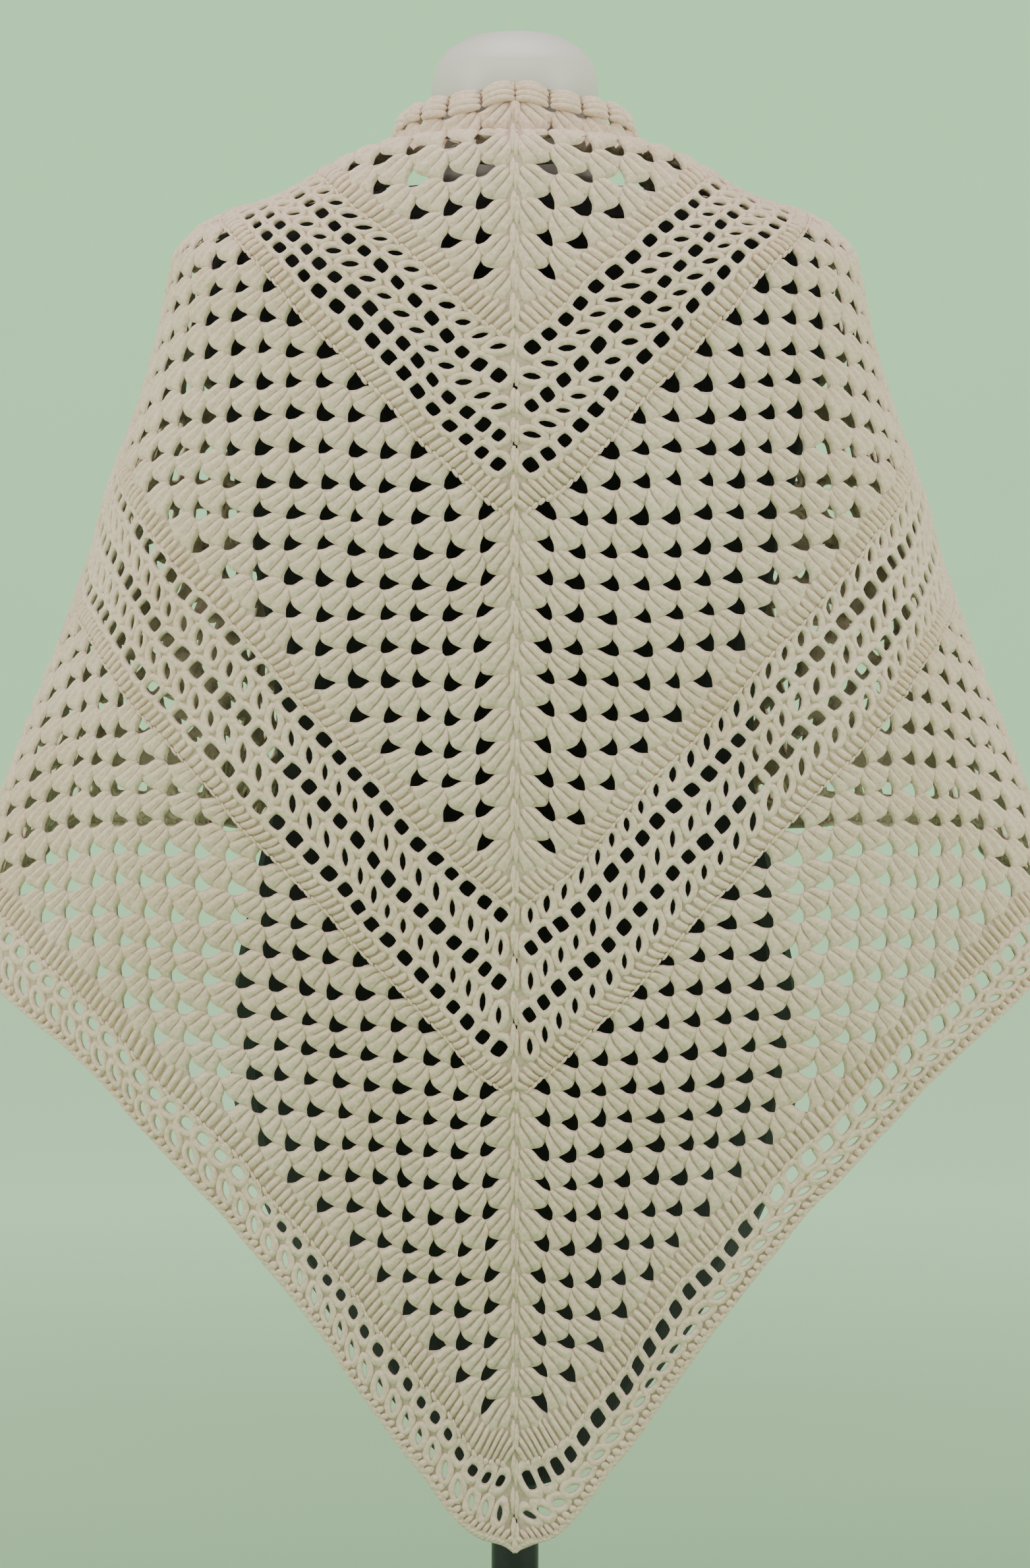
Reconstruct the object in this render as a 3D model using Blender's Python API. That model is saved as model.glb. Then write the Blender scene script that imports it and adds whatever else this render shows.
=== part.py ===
"""A crocheted triangular shawl worn on a limbless dress form.

The shawl is a right-angled triangle, worked from the middle of its long top edge down
to the tip, in rows that turn at a centre spine. It is laid out flat first, with u along
the top edge from the spine and v down towards the tip, and is then draped: every flat
point is placed on rings that pass round the neck, over the shoulders and down to the hem.
Metres, +Z up, the back of the shawl towards -Y, the origin under the stand.
"""

import math

import bmesh
import bpy
from mathutils import Vector

# Flat size of the shawl: 49.6 rows, each one row pitch along the spine.
ROW_PITCH = 0.0203
BODY_ROWS = 49.0
HEM_ROWS = 49.6
FLAT_DEPTH = HEM_ROWS * ROW_PITCH
WALL = 0.004
EDGING_WALL = 0.0056
SEAM_GAP = 0.0003
SPINE_ROUNDING = 0.008
SPINE_ROUNDING_WIDTH = 0.022

# The tip is rounded by this much more, growing between two distances down the spine.
TIP_ROUNDING = 0.013
TIP_START = 0.86
TIP_END = 0.99

# Where the rows lie, as hand-worked rows vary: the row, its place in row pitches.
ROW_PLACES = (
    (0.0, 0.0),
    (9.5, 10.40),
    (10.5, 11.43),
    (11.5, 12.38),
    (15.5, 16.03),
    (17.5, 17.92),
    (27.5, 28.16),
    (28.5, 29.18),
    (29.5, 29.98),
    (33.5, 34.13),
    (34.5, 35.05),
    (35.5, 35.74),
    (45.5, 45.33),
    (46.5, 46.43),
    (47.5, 47.60),
    (48.5, 48.65),
    (49.6, 49.60),
)

# The rows fan out round a point this far above the middle of the top edge.
FAN_HEIGHT = 0.50
FAN_END = math.atan2(FLAT_DEPTH, FAN_HEIGHT)

# Height of the tip above the floor. The heights in the tables below start at the tip.
TIP_HEIGHT = 0.11

# Spine of the back: way down the cloth, distance behind the axis, height.
BACK_LINE = (
    (0.000, 0.062, 0.952),
    (0.022, 0.070, 0.932),
    (0.044, 0.078, 0.911),
    (0.056, 0.086, 0.904),
    (0.067, 0.095, 0.909),
    (0.079, 0.102, 0.919),
    (0.090, 0.112, 0.922),
    (0.101, 0.120, 0.915),
    (0.120, 0.126, 0.897),
    (0.160, 0.134, 0.857),
    (0.250, 0.150, 0.765),
    (0.400, 0.163, 0.612),
    (0.600, 0.174, 0.407),
    (0.800, 0.182, 0.202),
    (1.007, 0.188, -0.020),
)

# Outline over the shoulder: way down the cloth, half width, height.
SIDE_LINE = (
    (0.000, 0.064, 0.950),
    (0.013, 0.073, 0.941),
    (0.030, 0.078, 0.925),
    (0.043, 0.083, 0.912),
    (0.058, 0.094, 0.903),
    (0.093, 0.129, 0.895),
    (0.118, 0.152, 0.887),
    (0.156, 0.189, 0.877),
    (0.178, 0.209, 0.868),
    (0.191, 0.2185, 0.859),
    (0.202, 0.226, 0.850),
    (0.211, 0.229, 0.841),
    (0.220, 0.231, 0.832),
    (0.253, 0.238, 0.798),
    (0.289, 0.248, 0.762),
    (0.325, 0.2605, 0.726),
    (0.362, 0.2735, 0.690),
    (0.397, 0.282, 0.654),
    (0.432, 0.292, 0.619),
    (0.468, 0.304, 0.5835),
    (0.504, 0.317, 0.548),
    (0.541, 0.331, 0.512),
    (0.577, 0.3445, 0.4765),
    (0.660, 0.373, 0.395),
)

# Middle of the front: way down the cloth, distance before the axis, height.
FRONT_LINE = (
    (0.000, 0.074, 0.915),
    (0.040, 0.086, 0.882),
    (0.100, 0.112, 0.846),
    (0.170, 0.134, 0.800),
    (0.260, 0.150, 0.720),
    (0.400, 0.168, 0.590),
    (0.550, 0.190, 0.452),
    (0.662, 0.206, 0.350),
)

# Way down the cloth where the rings round the collar start to give way to the back panel.
COLLAR_END = 0.12

# The lower panel is pulled in by this share, at this height and over this span.
HEM_NARROWING = 0.15
HEM_NARROW_HEIGHT = 0.165
HEM_NARROW_SPAN = 0.17

# How far the rings bulge at their corners, and half the gap between the front points.
CORNER_FULLNESS = 0.05
FRONT_GAP = 0.028

# How much more cloth lies near the side than near the front edge.
FRONT_SPREAD = 1.3

# Folds of each front, from the side to the front edge: place, half width, depth at the
# hem. Places and widths are shares of the front. A negative depth is a hollow.
# They grow over the first FOLD_RISE of the front, and from FOLD_START to FOLD_FULL down it.
FRONT_FOLDS = (
    (0.14, 0.07, -0.014),
    (0.27, 0.08, 0.036),
    (0.42, 0.07, -0.036),
    (0.56, 0.07, 0.040),
    (0.70, 0.06, -0.034),
    (0.83, 0.06, 0.038),
    (0.95, 0.05, -0.030),
)
FOLD_RISE = 0.2
FOLD_START = 0.16
FOLD_FULL = 0.60

# Soft hollows down the back: distance along the ring, half width, depth at the hem.
BACK_FOLDS = (
    (0.10, 0.05, -0.003),
    (0.22, 0.05, 0.005),
    (0.31, 0.045, -0.006),
    (0.39, 0.04, 0.005),
)

# Rows whose gaps are cut through: middle of the row, spacing of the gaps along it, and
# half a gap's size along and across the row. All are in rows.
CUT_ROWS = (
    (8.5, 2.0, 0.36, 0.30),
    (13.5, 1.0, 0.27, 0.30),
    (17.5, 2.0, 0.40, 0.33),
    (31.5, 1.0, 0.27, 0.30),
    (35.5, 2.0, 0.40, 0.33),
)

# A gap's narrow end and its low side, as shares of its full size.
GAP_NARROW = 0.7
GAP_LOW = 0.8

# Half the height of the strip round a row of gaps, and the least share of a whole cell.
CUT_STRIP = 1.0
WHOLE_CELL = 0.9

# Rows where the folded collar is shaped, and the spacing of the places along them.
COLLAR_ROWS = (0.6, 1.2, 1.8, 2.4, 2.9, 3.4, 3.9, 4.4, 4.9, 5.5, 6.2)
COLLAR_STEP = 0.5

# Height and spacing of the plain strips. A strip may be this much of one higher.
STRIP_ROWS = 2.0
STRIP_SLACK = 0.1

# Lines that all rows share: place of one of them, and how far they stay from a row's ends.
LINE_OFFSET = -0.5
END_CLEAR = 0.7

# Steps that the outward directions are measured over, on the flat cloth and round a ring.
CLOTH_PROBE = 0.001
RING_PROBE = 0.01
RING_STEPS = 24

# Dress form: height above the tip, half width, depth behind, depth before. The cloth rests
# on its shoulders.
FORM_RINGS = (
    (0.020, 0.026, 0.026, 0.026),
    (0.028, 0.042, 0.038, 0.038),
    (0.052, 0.066, 0.054, 0.054),
    (0.088, 0.094, 0.072, 0.070),
    (0.123, 0.119, 0.086, 0.083),
    (0.159, 0.143, 0.097, 0.094),
    (0.194, 0.164, 0.106, 0.102),
    (0.230, 0.180, 0.112, 0.109),
    (0.285, 0.192, 0.117, 0.115),
    (0.345, 0.194, 0.118, 0.118),
    (0.420, 0.178, 0.110, 0.114),
    (0.500, 0.160, 0.102, 0.108),
    (0.580, 0.163, 0.108, 0.116),
    (0.660, 0.180, 0.118, 0.124),
    (0.730, 0.197, 0.124, 0.117),
    (0.790, 0.211, 0.124, 0.109),
    (0.832, 0.215, 0.120, 0.104),
    (0.856, 0.206, 0.114, 0.098),
    (0.870, 0.187, 0.105, 0.090),
    (0.880, 0.156, 0.094, 0.081),
    (0.888, 0.118, 0.081, 0.072),
    (0.894, 0.084, 0.067, 0.063),
)
FORM_SIDES = 28

# Neck of the form: height above the tip, radius.
NECK_PROFILE = (
    (0.8945, 0.0600),
    (0.905, 0.0575),
    (0.940, 0.0562),
    (0.961, 0.0562),
    (0.970, 0.0553),
    (0.979, 0.0522),
    (0.988, 0.0448),
    (0.997, 0.0294),
    (1.000, 0.0100),
)
NECK_SIDES = 28

POLE_RADIUS = 0.016
BASE_RADIUS = 0.17
BASE_HEIGHT = 0.014
BASE_EDGE = 0.004
ROUND_SIDES = 48

# Edges sharper than this stay crisp.
CRISP_ANGLE = math.radians(50.0)


def spline(rows, column, at):
    """A smooth curve through one column of a table, straight beyond its ends."""
    last = len(rows) - 1
    index = 0
    while index < last - 1 and rows[index + 1][0] < at:
        index += 1

    def slope(k):
        before = max(k - 1, 0)
        after = min(k + 1, last)
        rise = rows[after][column] - rows[before][column]
        return rise / (rows[after][0] - rows[before][0])

    x0 = rows[index][0]
    x1 = rows[index + 1][0]
    y0 = rows[index][column]
    y1 = rows[index + 1][column]
    if at <= x0:
        return y0 + slope(index) * (at - x0)
    if at >= x1:
        return y1 + slope(index + 1) * (at - x1)
    run = x1 - x0
    t = (at - x0) / run
    near = (1.0 + 2.0 * t) * (1.0 - t) ** 2 * y0 + t * (1.0 - t) ** 2 * run * slope(index)
    far = t * t * (3.0 - 2.0 * t) * y1 - t * t * (1.0 - t) * run * slope(index + 1)
    return near + far


def ease(value):
    """A smooth step from 0 to 1."""
    value = min(max(value, 0.0), 1.0)
    return value * value * (3.0 - 2.0 * value)


def ring_point(angle, width, depth):
    """A point on a quarter of a ring, with the angle counted from its middle."""
    full = 1.0 + CORNER_FULLNESS * math.sin(2.0 * angle) ** 2
    return width * math.sin(angle) * full, depth * math.cos(angle) * full


def quarter_lengths(width, depth):
    """Running length along a quarter ring, from its middle to its side."""
    lengths = [0.0]
    last = ring_point(0.0, width, depth)
    for k in range(1, RING_STEPS + 1):
        point = ring_point(0.5 * math.pi * k / RING_STEPS, width, depth)
        lengths.append(lengths[-1] + math.dist(last, point))
        last = point
    return lengths


def along(lengths, distance, width, depth):
    """The point and the outward direction at a distance along a quarter ring."""
    index = 0
    while index < RING_STEPS - 1 and lengths[index + 1] < distance:
        index += 1
    share = (distance - lengths[index]) / (lengths[index + 1] - lengths[index])
    angle = 0.5 * math.pi * (index + share) / RING_STEPS
    near = ring_point(angle - RING_PROBE, width, depth)
    far = ring_point(angle + RING_PROBE, width, depth)
    run = math.dist(near, far)
    outward = ((near[1] - far[1]) / run, (far[0] - near[0]) / run)
    return ring_point(angle, width, depth), outward


def fold_depth(folds, at):
    """The sum of the folds at one place across them."""
    total = 0.0
    for place, half_width, depth in folds:
        total += depth * math.exp(-(((at - place) / half_width) ** 2))
    return total


def narrowing(height):
    """How far the lower panel is pulled in at a height."""
    return 1.0 - HEM_NARROWING * math.exp(-(((height - HEM_NARROW_HEIGHT) / HEM_NARROW_SPAN) ** 2))


def drape(u, v):
    """Where the flat point u, v of the left half (u up to 0) or right half hangs."""
    if u < 0.0:
        mirrored = drape(-u, v)
        return Vector((-mirrored.x, mirrored.y, mirrored.z))
    rounding = SPINE_ROUNDING + TIP_ROUNDING * ease((v - TIP_START) / (TIP_END - TIP_START))
    v = v - rounding * math.exp(-((u / SPINE_ROUNDING_WIDTH) ** 2))
    radius = math.hypot(u, v + FAN_HEIGHT)
    fan = math.atan2(u, v + FAN_HEIGHT)
    way = radius - FAN_HEIGHT
    width = spline(SIDE_LINE, 1, way)
    back = spline(BACK_LINE, 1, way)
    lengths = quarter_lengths(width, back)
    reach = radius * fan
    fullness = ease((way - FOLD_START) / (FOLD_FULL - FOLD_START))
    side_fan = lengths[-1] / radius
    side_height = spline(SIDE_LINE, 2, way)
    if reach <= lengths[-1]:
        (x, y), (out_x, out_y) = along(lengths, reach, width, back)
        share = fan / side_fan
        panel = ease((way - COLLAR_END) / COLLAR_END)
        spine_way = way - radius * (1.0 - math.cos(fan)) * panel
        spine_height = spline(BACK_LINE, 2, spine_way)
        height = spine_height + (side_height - spine_height) * ease(share) * share
        push = fold_depth(BACK_FOLDS, reach) * fullness
        x = (x + out_x * push) * narrowing(height)
        return Vector((x, -y - out_y * push, height + TIP_HEIGHT))
    front = spline(FRONT_LINE, 1, way)
    lengths = quarter_lengths(width, front)
    share = (reach - side_fan * radius) / (radius * (FAN_END - side_fan))
    spread = 1.0 - (1.0 - min(share, 1.0)) ** FRONT_SPREAD
    usable = lengths[-1] - FRONT_GAP
    (x, y), (out_x, out_y) = along(lengths, lengths[-1] - usable * spread, width, front)
    front_height = spline(FRONT_LINE, 2, way)
    height = side_height + (front_height - side_height) * ease(spread)
    push = fold_depth(FRONT_FOLDS, share) * ease(share / FOLD_RISE)
    push = (push + fold_depth(BACK_FOLDS, reach)) * fullness
    x = (x + out_x * push) * narrowing(height)
    return Vector((x, y + out_y * push, height + TIP_HEIGHT))


def flat_point(row, place):
    """Flat u and v of a place along a row: minus the row is the spine, plus is the top edge."""
    pitch = ROW_PITCH * row_ratio(row)
    return 0.5 * (row + place) * pitch, 0.5 * (row - place) * pitch


def row_ratio(row):
    """Where a row lies, as a share of where it would lie at the even pitch."""
    if row <= ROW_PLACES[1][0]:
        return ROW_PLACES[1][1] / ROW_PLACES[1][0]
    index = 1
    while index < len(ROW_PLACES) - 2 and ROW_PLACES[index + 1][0] < row:
        index += 1
    row0, place0 = ROW_PLACES[index]
    row1, place1 = ROW_PLACES[index + 1]
    return (place0 + (place1 - place0) * (row - row0) / (row1 - row0)) / row


def wall_points(side, row, place, thickness):
    """Outer and inner point of the wall at a place along a row, on side -1 or 1."""
    u, v = flat_point(row, place)
    centre = drape(u, v)
    along_u = drape(u + CLOTH_PROBE, v) - drape(u - CLOTH_PROBE, v)
    along_v = drape(u, v + CLOTH_PROBE) - drape(u, v - CLOTH_PROBE)
    out = along_u.cross(along_v).normalized()
    clear = Vector((SEAM_GAP * 0.5, 0.0, 0.0)) * ease(1.0 - u / ROW_PITCH)
    outer = centre - out * thickness * 0.5 + clear
    inner = centre + out * thickness * 0.5 + clear
    for point in (outer, inner):
        point.x = max(point.x, SEAM_GAP * 0.5) * side
    return outer, inner


class Wall:
    """A closed wall over flat triangles, with an outer and an inner skin."""

    def __init__(self, name, side, thickness=WALL, hem_thickness=WALL):
        self.name = name
        self.side = side
        self.thickness = thickness
        self.hem_thickness = hem_thickness
        self.mesh = bmesh.new()
        self.corners = {}
        self.edges = {}

    def corner(self, row, place):
        """The key of a place, whose outer and inner point are made the first time."""
        key = (round(row, 4), round(place, 4))
        if key not in self.corners:
            thickness = self.hem_thickness if row >= HEM_ROWS else self.thickness
            pair = wall_points(self.side, row, place, thickness)
            self.corners[key] = tuple(self.mesh.verts.new(point) for point in pair)
        return key

    def triangle(self, first, second, third):
        """Add one flat triangle, on the outer and the inner skin."""
        keys = [self.corner(*place) for place in (first, second, third)]
        turn = (keys[1][0] - keys[0][0]) * (keys[2][1] - keys[0][1])
        turn -= (keys[2][0] - keys[0][0]) * (keys[1][1] - keys[0][1])
        if turn * self.side < 0.0:
            keys.reverse()
        outer = [self.corners[key][0] for key in keys]
        inner = [self.corners[key][1] for key in keys]
        self.mesh.faces.new(outer)
        self.mesh.faces.new(reversed(inner))
        for near, far in zip(keys, keys[1:] + keys[:1]):
            if (far, near) in self.edges:
                del self.edges[(far, near)]
            else:
                self.edges[(near, far)] = True

    def polygon(self, places):
        """Add a flat polygon as a fan of triangles from its first place."""
        for near, far in zip(places[1:], places[2:]):
            self.triangle(places[0], near, far)

    def finish(self, material):
        """Close the wall's edges and the gaps' edges, and make the object."""
        for near, far in self.edges:
            outer_near, inner_near = self.corners[near]
            outer_far, inner_far = self.corners[far]
            if near[1] < far[1]:
                self.mesh.faces.new((outer_far, outer_near, inner_far))
                self.mesh.faces.new((outer_near, inner_near, inner_far))
            else:
                self.mesh.faces.new((outer_far, outer_near, inner_near))
                self.mesh.faces.new((outer_far, inner_near, inner_far))
        bmesh.ops.recalc_face_normals(self.mesh, faces=self.mesh.faces)
        return link_mesh(self.name, self.mesh, material)


def bridge(wall, row_a, places_a, row_b, places_b):
    """Triangles between two rows, whose places each run from spine to top edge."""
    i = 0
    j = 0
    while i < len(places_a) - 1 or j < len(places_b) - 1:
        step_a = i < len(places_a) - 1
        if step_a and j < len(places_b) - 1:
            step_a = places_a[i + 1] + places_a[i] <= places_b[j + 1] + places_b[j]
        if step_a:
            wall.triangle((row_a, places_a[i]), (row_a, places_a[i + 1]), (row_b, places_b[j]))
            i += 1
        else:
            wall.triangle((row_a, places_a[i]), (row_b, places_b[j + 1]), (row_b, places_b[j]))
            j += 1


def places_on(row, step):
    """Places along a row: its two ends, and the lines between them that all rows share."""
    if row == 0.0:
        return [0.0]
    reach = math.ceil(row / step) + 1
    lines = [LINE_OFFSET + step * k for k in range(-reach, reach + 1)]
    return [-row] + [line for line in lines if abs(line) < row - END_CLEAR] + [row]


def cell_with_gap(wall, top, bottom, left, right, gap):
    """One cell of the sheet with a four-sided gap through its middle."""
    middle, half_along, half_across = gap
    centre = 0.5 * (left + right)
    corners = ((top, left), (top, right), (bottom, right), (bottom, left))
    hole = (
        (middle - half_across, centre - half_along),
        (middle - half_across * GAP_NARROW, centre + half_along),
        (middle + half_across, centre + half_along * GAP_LOW),
        (middle + half_across, centre - half_along),
    )
    for k in range(len(corners)):
        n = (k + 1) % len(corners)
        wall.polygon((corners[k], corners[n], hole[n], hole[k]))


def cut_row(wall, middle, spacing, half_along, half_across):
    """The strip round one row, with a gap in the middle of each whole cell."""
    top = middle - CUT_STRIP
    bottom = middle + CUT_STRIP
    places = places_on(top, spacing)
    for left, right in zip(places, places[1:]):
        if right - left > WHOLE_CELL * spacing:
            gap = (middle, half_along, half_across)
            cell_with_gap(wall, top, bottom, left, right, gap)
        else:
            wall.polygon(((top, left), (top, right), (bottom, right), (bottom, left)))
    wall.triangle((top, places[0]), (bottom, places[0]), (bottom, -bottom))
    wall.triangle((top, places[-1]), (bottom, bottom), (bottom, places[-1]))
    return [-bottom] + places + [bottom]


def shawl_half(name, side, material):
    """One half of the body, from the top edge down to the edging."""
    wall = Wall(name, side)
    row = 0.0
    places = [0.0]

    def down_to(next_row, step):
        following = places_on(next_row, step)
        bridge(wall, row, places, next_row, following)
        return next_row, following

    for collar_row in COLLAR_ROWS:
        row, places = down_to(collar_row, COLLAR_STEP)
    stops = [(cut[0] - CUT_STRIP, cut) for cut in CUT_ROWS] + [(BODY_ROWS, None)]
    for stop, cut in stops:
        strips = math.ceil((stop - row) / STRIP_ROWS - STRIP_SLACK)
        height = (stop - row) / strips
        for strip in range(strips):
            step = cut[1] if cut and strip == strips - 1 else STRIP_ROWS
            row, places = down_to(row + height, step)
        if cut:
            places = cut_row(wall, *cut)
            row = stop + 2.0 * CUT_STRIP
    return wall.finish(material)


def hem_edging(name, side, material):
    """The plain edging below the last row."""
    wall = Wall(name, side, hem_thickness=EDGING_WALL)
    top = BODY_ROWS + 2.0 * SEAM_GAP / ROW_PITCH
    below = places_on(HEM_ROWS, STRIP_ROWS)
    bridge(wall, top, places_on(top, STRIP_ROWS), HEM_ROWS, below)
    return wall.finish(material)


def link_mesh(name, mesh, material):
    """Turn a bmesh into a smooth-shaded object of the scene."""
    data = bpy.data.meshes.new(name)
    mesh.to_mesh(data)
    mesh.free()
    data.shade_smooth()
    data.set_sharp_from_angle(angle=CRISP_ANGLE)
    data.materials.append(material)
    result = bpy.data.objects.new(name, data)
    bpy.context.scene.collection.objects.link(result)
    return result


def stack_rings(rings):
    """A closed body through a stack of rings of points, lowest first."""
    mesh = bmesh.new()
    loops = [[mesh.verts.new(point) for point in ring] for ring in rings]
    for lower, upper in zip(loops, loops[1:]):
        count = len(lower)
        for k in range(count):
            n = (k + 1) % count
            mesh.faces.new((lower[k], lower[n], upper[n], upper[k]))
    mesh.faces.new(reversed(loops[0]))
    mesh.faces.new(loops[-1])
    return mesh


def form_body(material):
    """The torso of the dress form, rounded in at the bottom to its pole."""
    rings = []
    for height, width, back, front in FORM_RINGS:
        ring = []
        for k in range(FORM_SIDES):
            angle = 2.0 * math.pi * k / FORM_SIDES
            depth = front if math.sin(angle) > 0.0 else back
            place = (width * math.cos(angle), depth * math.sin(angle), height + TIP_HEIGHT)
            ring.append(place)
        rings.append(ring)
    return link_mesh("form_body", stack_rings(rings), material)


def form_neck(material):
    """The neck of the dress form, with a domed top."""
    rings = []
    for height, radius in NECK_PROFILE:
        ring = []
        for k in range(NECK_SIDES):
            angle = 2.0 * math.pi * k / NECK_SIDES
            place = (radius * math.cos(angle), radius * math.sin(angle), height + TIP_HEIGHT)
            ring.append(place)
        rings.append(ring)
    return link_mesh("form_neck", stack_rings(rings), material)


def turned(name, profile, material):
    """A round body turned about the axis, from heights and radii, lowest first."""
    rings = []
    for height, radius in profile:
        ring = []
        for k in range(ROUND_SIDES):
            angle = 2.0 * math.pi * k / ROUND_SIDES
            ring.append((radius * math.cos(angle), radius * math.sin(angle), height))
        rings.append(ring)
    return link_mesh(name, stack_rings(rings), material)


def stand(material):
    """The pole and the round base plate."""
    top = FORM_RINGS[0][0] + TIP_HEIGHT - SEAM_GAP
    pole = ((BASE_HEIGHT + SEAM_GAP, POLE_RADIUS), (top, POLE_RADIUS))
    turned("stand_pole", pole, material)
    base = (
        (0.0, BASE_RADIUS),
        (BASE_HEIGHT - BASE_EDGE, BASE_RADIUS),
        (BASE_HEIGHT, BASE_RADIUS - BASE_EDGE),
    )
    turned("stand_base", base, material)


def principled(name, colour, roughness, metallic=0.0):
    """A plain material of one colour."""
    material = bpy.data.materials.new(name)
    material.use_nodes = True
    shader = material.node_tree.nodes["Principled BSDF"]
    shader.inputs["Base Color"].default_value = (*colour, 1.0)
    shader.inputs["Roughness"].default_value = roughness
    shader.inputs["Metallic"].default_value = metallic
    return material


def build():
    for old in list(bpy.data.objects):
        bpy.data.objects.remove(old, do_unlink=True)
    yarn = principled("cream_yarn", (0.76, 0.71, 0.60), 0.95)
    jersey = principled("black_jersey", (0.012, 0.011, 0.012), 0.9)
    cap = principled("neck_satin", (0.62, 0.55, 0.52), 0.35)
    metal = principled("stand_metal", (0.05, 0.05, 0.055), 0.35, 0.8)
    for side, word in ((-1, "left"), (1, "right")):
        shawl_half("shawl_" + word, side, yarn)
        hem_edging("hem_edging_" + word, side, yarn)
    form_body(jersey)
    form_neck(cap)
    stand(metal)


build()
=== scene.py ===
"""The crocheted shawl on its dress form, stitch by stitch.

The cloth is laid out flat in rows, as in the CAD: w counts the rows from the middle of the
top edge, c runs along a row from the spine (-w) to the top edge (+w), and n is the height
above the cloth. Every stitch is shaped in those terms and then placed on the drape.
"""

import math

import bpy
import numpy as np
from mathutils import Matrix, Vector


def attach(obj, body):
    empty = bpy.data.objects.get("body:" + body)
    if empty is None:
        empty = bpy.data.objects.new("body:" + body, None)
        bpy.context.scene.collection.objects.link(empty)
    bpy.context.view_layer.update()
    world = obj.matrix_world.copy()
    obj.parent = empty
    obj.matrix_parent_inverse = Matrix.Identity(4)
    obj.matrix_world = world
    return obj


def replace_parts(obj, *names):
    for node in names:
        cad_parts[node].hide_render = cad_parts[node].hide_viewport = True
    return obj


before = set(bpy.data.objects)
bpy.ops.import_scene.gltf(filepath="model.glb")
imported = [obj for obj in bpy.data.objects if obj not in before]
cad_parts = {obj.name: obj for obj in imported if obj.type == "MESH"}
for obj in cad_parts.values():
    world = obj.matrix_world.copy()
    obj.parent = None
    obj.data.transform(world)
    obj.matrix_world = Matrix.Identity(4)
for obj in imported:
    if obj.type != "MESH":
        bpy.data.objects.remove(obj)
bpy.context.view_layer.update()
rng = np.random.default_rng(11)

# The drape, with the same sizes as the solids.
ROW_PITCH = 0.0203
HEM_ROWS = 49.6
FLAT_DEPTH = HEM_ROWS * ROW_PITCH
SPINE_ROUNDING = 0.008
SPINE_ROUNDING_WIDTH = 0.022
TIP_ROUNDING = 0.013
TIP_START = 0.86
TIP_END = 0.99
COLLAR_END = 0.12
HEM_NARROWING = 0.15
HEM_NARROW_HEIGHT = 0.165
HEM_NARROW_SPAN = 0.17
FAN_HEIGHT = 0.50
FAN_END = math.atan2(FLAT_DEPTH, FAN_HEIGHT)
TIP_HEIGHT = 0.11

BACK_LINE = np.array((
    (0.000, 0.062, 0.952),
    (0.022, 0.070, 0.932),
    (0.044, 0.078, 0.911),
    (0.056, 0.086, 0.904),
    (0.067, 0.095, 0.909),
    (0.079, 0.102, 0.919),
    (0.090, 0.112, 0.922),
    (0.101, 0.120, 0.915),
    (0.120, 0.126, 0.897),
    (0.160, 0.134, 0.857),
    (0.250, 0.150, 0.765),
    (0.400, 0.163, 0.612),
    (0.600, 0.174, 0.407),
    (0.800, 0.182, 0.202),
    (1.007, 0.188, -0.020),
))
SIDE_LINE = np.array((
    (0.000, 0.064, 0.950),
    (0.013, 0.073, 0.941),
    (0.030, 0.078, 0.925),
    (0.043, 0.083, 0.912),
    (0.058, 0.094, 0.903),
    (0.093, 0.129, 0.895),
    (0.118, 0.152, 0.887),
    (0.156, 0.189, 0.877),
    (0.178, 0.209, 0.868),
    (0.191, 0.2185, 0.859),
    (0.202, 0.226, 0.850),
    (0.211, 0.229, 0.841),
    (0.220, 0.231, 0.832),
    (0.253, 0.238, 0.798),
    (0.289, 0.248, 0.762),
    (0.325, 0.2605, 0.726),
    (0.362, 0.2735, 0.690),
    (0.397, 0.282, 0.654),
    (0.432, 0.292, 0.619),
    (0.468, 0.304, 0.5835),
    (0.504, 0.317, 0.548),
    (0.541, 0.331, 0.512),
    (0.577, 0.3445, 0.4765),
    (0.660, 0.373, 0.395),
))
FRONT_LINE = np.array((
    (0.000, 0.074, 0.915),
    (0.040, 0.086, 0.882),
    (0.100, 0.112, 0.846),
    (0.170, 0.134, 0.800),
    (0.260, 0.150, 0.720),
    (0.400, 0.168, 0.590),
    (0.550, 0.190, 0.452),
    (0.662, 0.206, 0.350),
))
CORNER_FULLNESS = 0.05
FRONT_GAP = 0.028
FRONT_SPREAD = 1.3
FRONT_FOLDS = (
    (0.14, 0.07, -0.014),
    (0.27, 0.08, 0.036),
    (0.42, 0.07, -0.036),
    (0.56, 0.07, 0.040),
    (0.70, 0.06, -0.034),
    (0.83, 0.06, 0.038),
    (0.95, 0.05, -0.030),
)
FOLD_RISE = 0.2
FOLD_START = 0.16
FOLD_FULL = 0.60
BACK_FOLDS = (
    (0.10, 0.05, -0.003),
    (0.22, 0.05, 0.005),
    (0.31, 0.045, -0.006),
    (0.39, 0.04, 0.005),
)
RING_PROBE = 0.01
RING_STEPS = 24

# Neck of the form: height above the tip, radius.
NECK_PROFILE = np.array((
    (0.8945, 0.0600),
    (0.905, 0.0575),
    (0.940, 0.0562),
    (0.961, 0.0562),
    (0.970, 0.0553),
    (0.979, 0.0522),
    (0.988, 0.0448),
    (0.997, 0.0294),
    (1.000, 0.0100),
))
NECK_SIDES = 72

# One unit along or across a row, in metres, and the grid that the drape is worked out on.
UNIT = ROW_PITCH / math.sqrt(2.0)
GRID = 0.002
GRID_U0 = -3 * GRID
GRID_V0 = -0.024
GRID_END = 1.06

# How far the whole cloth stands off the middle of the solid wall.
LIFT = 0.0008

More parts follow.
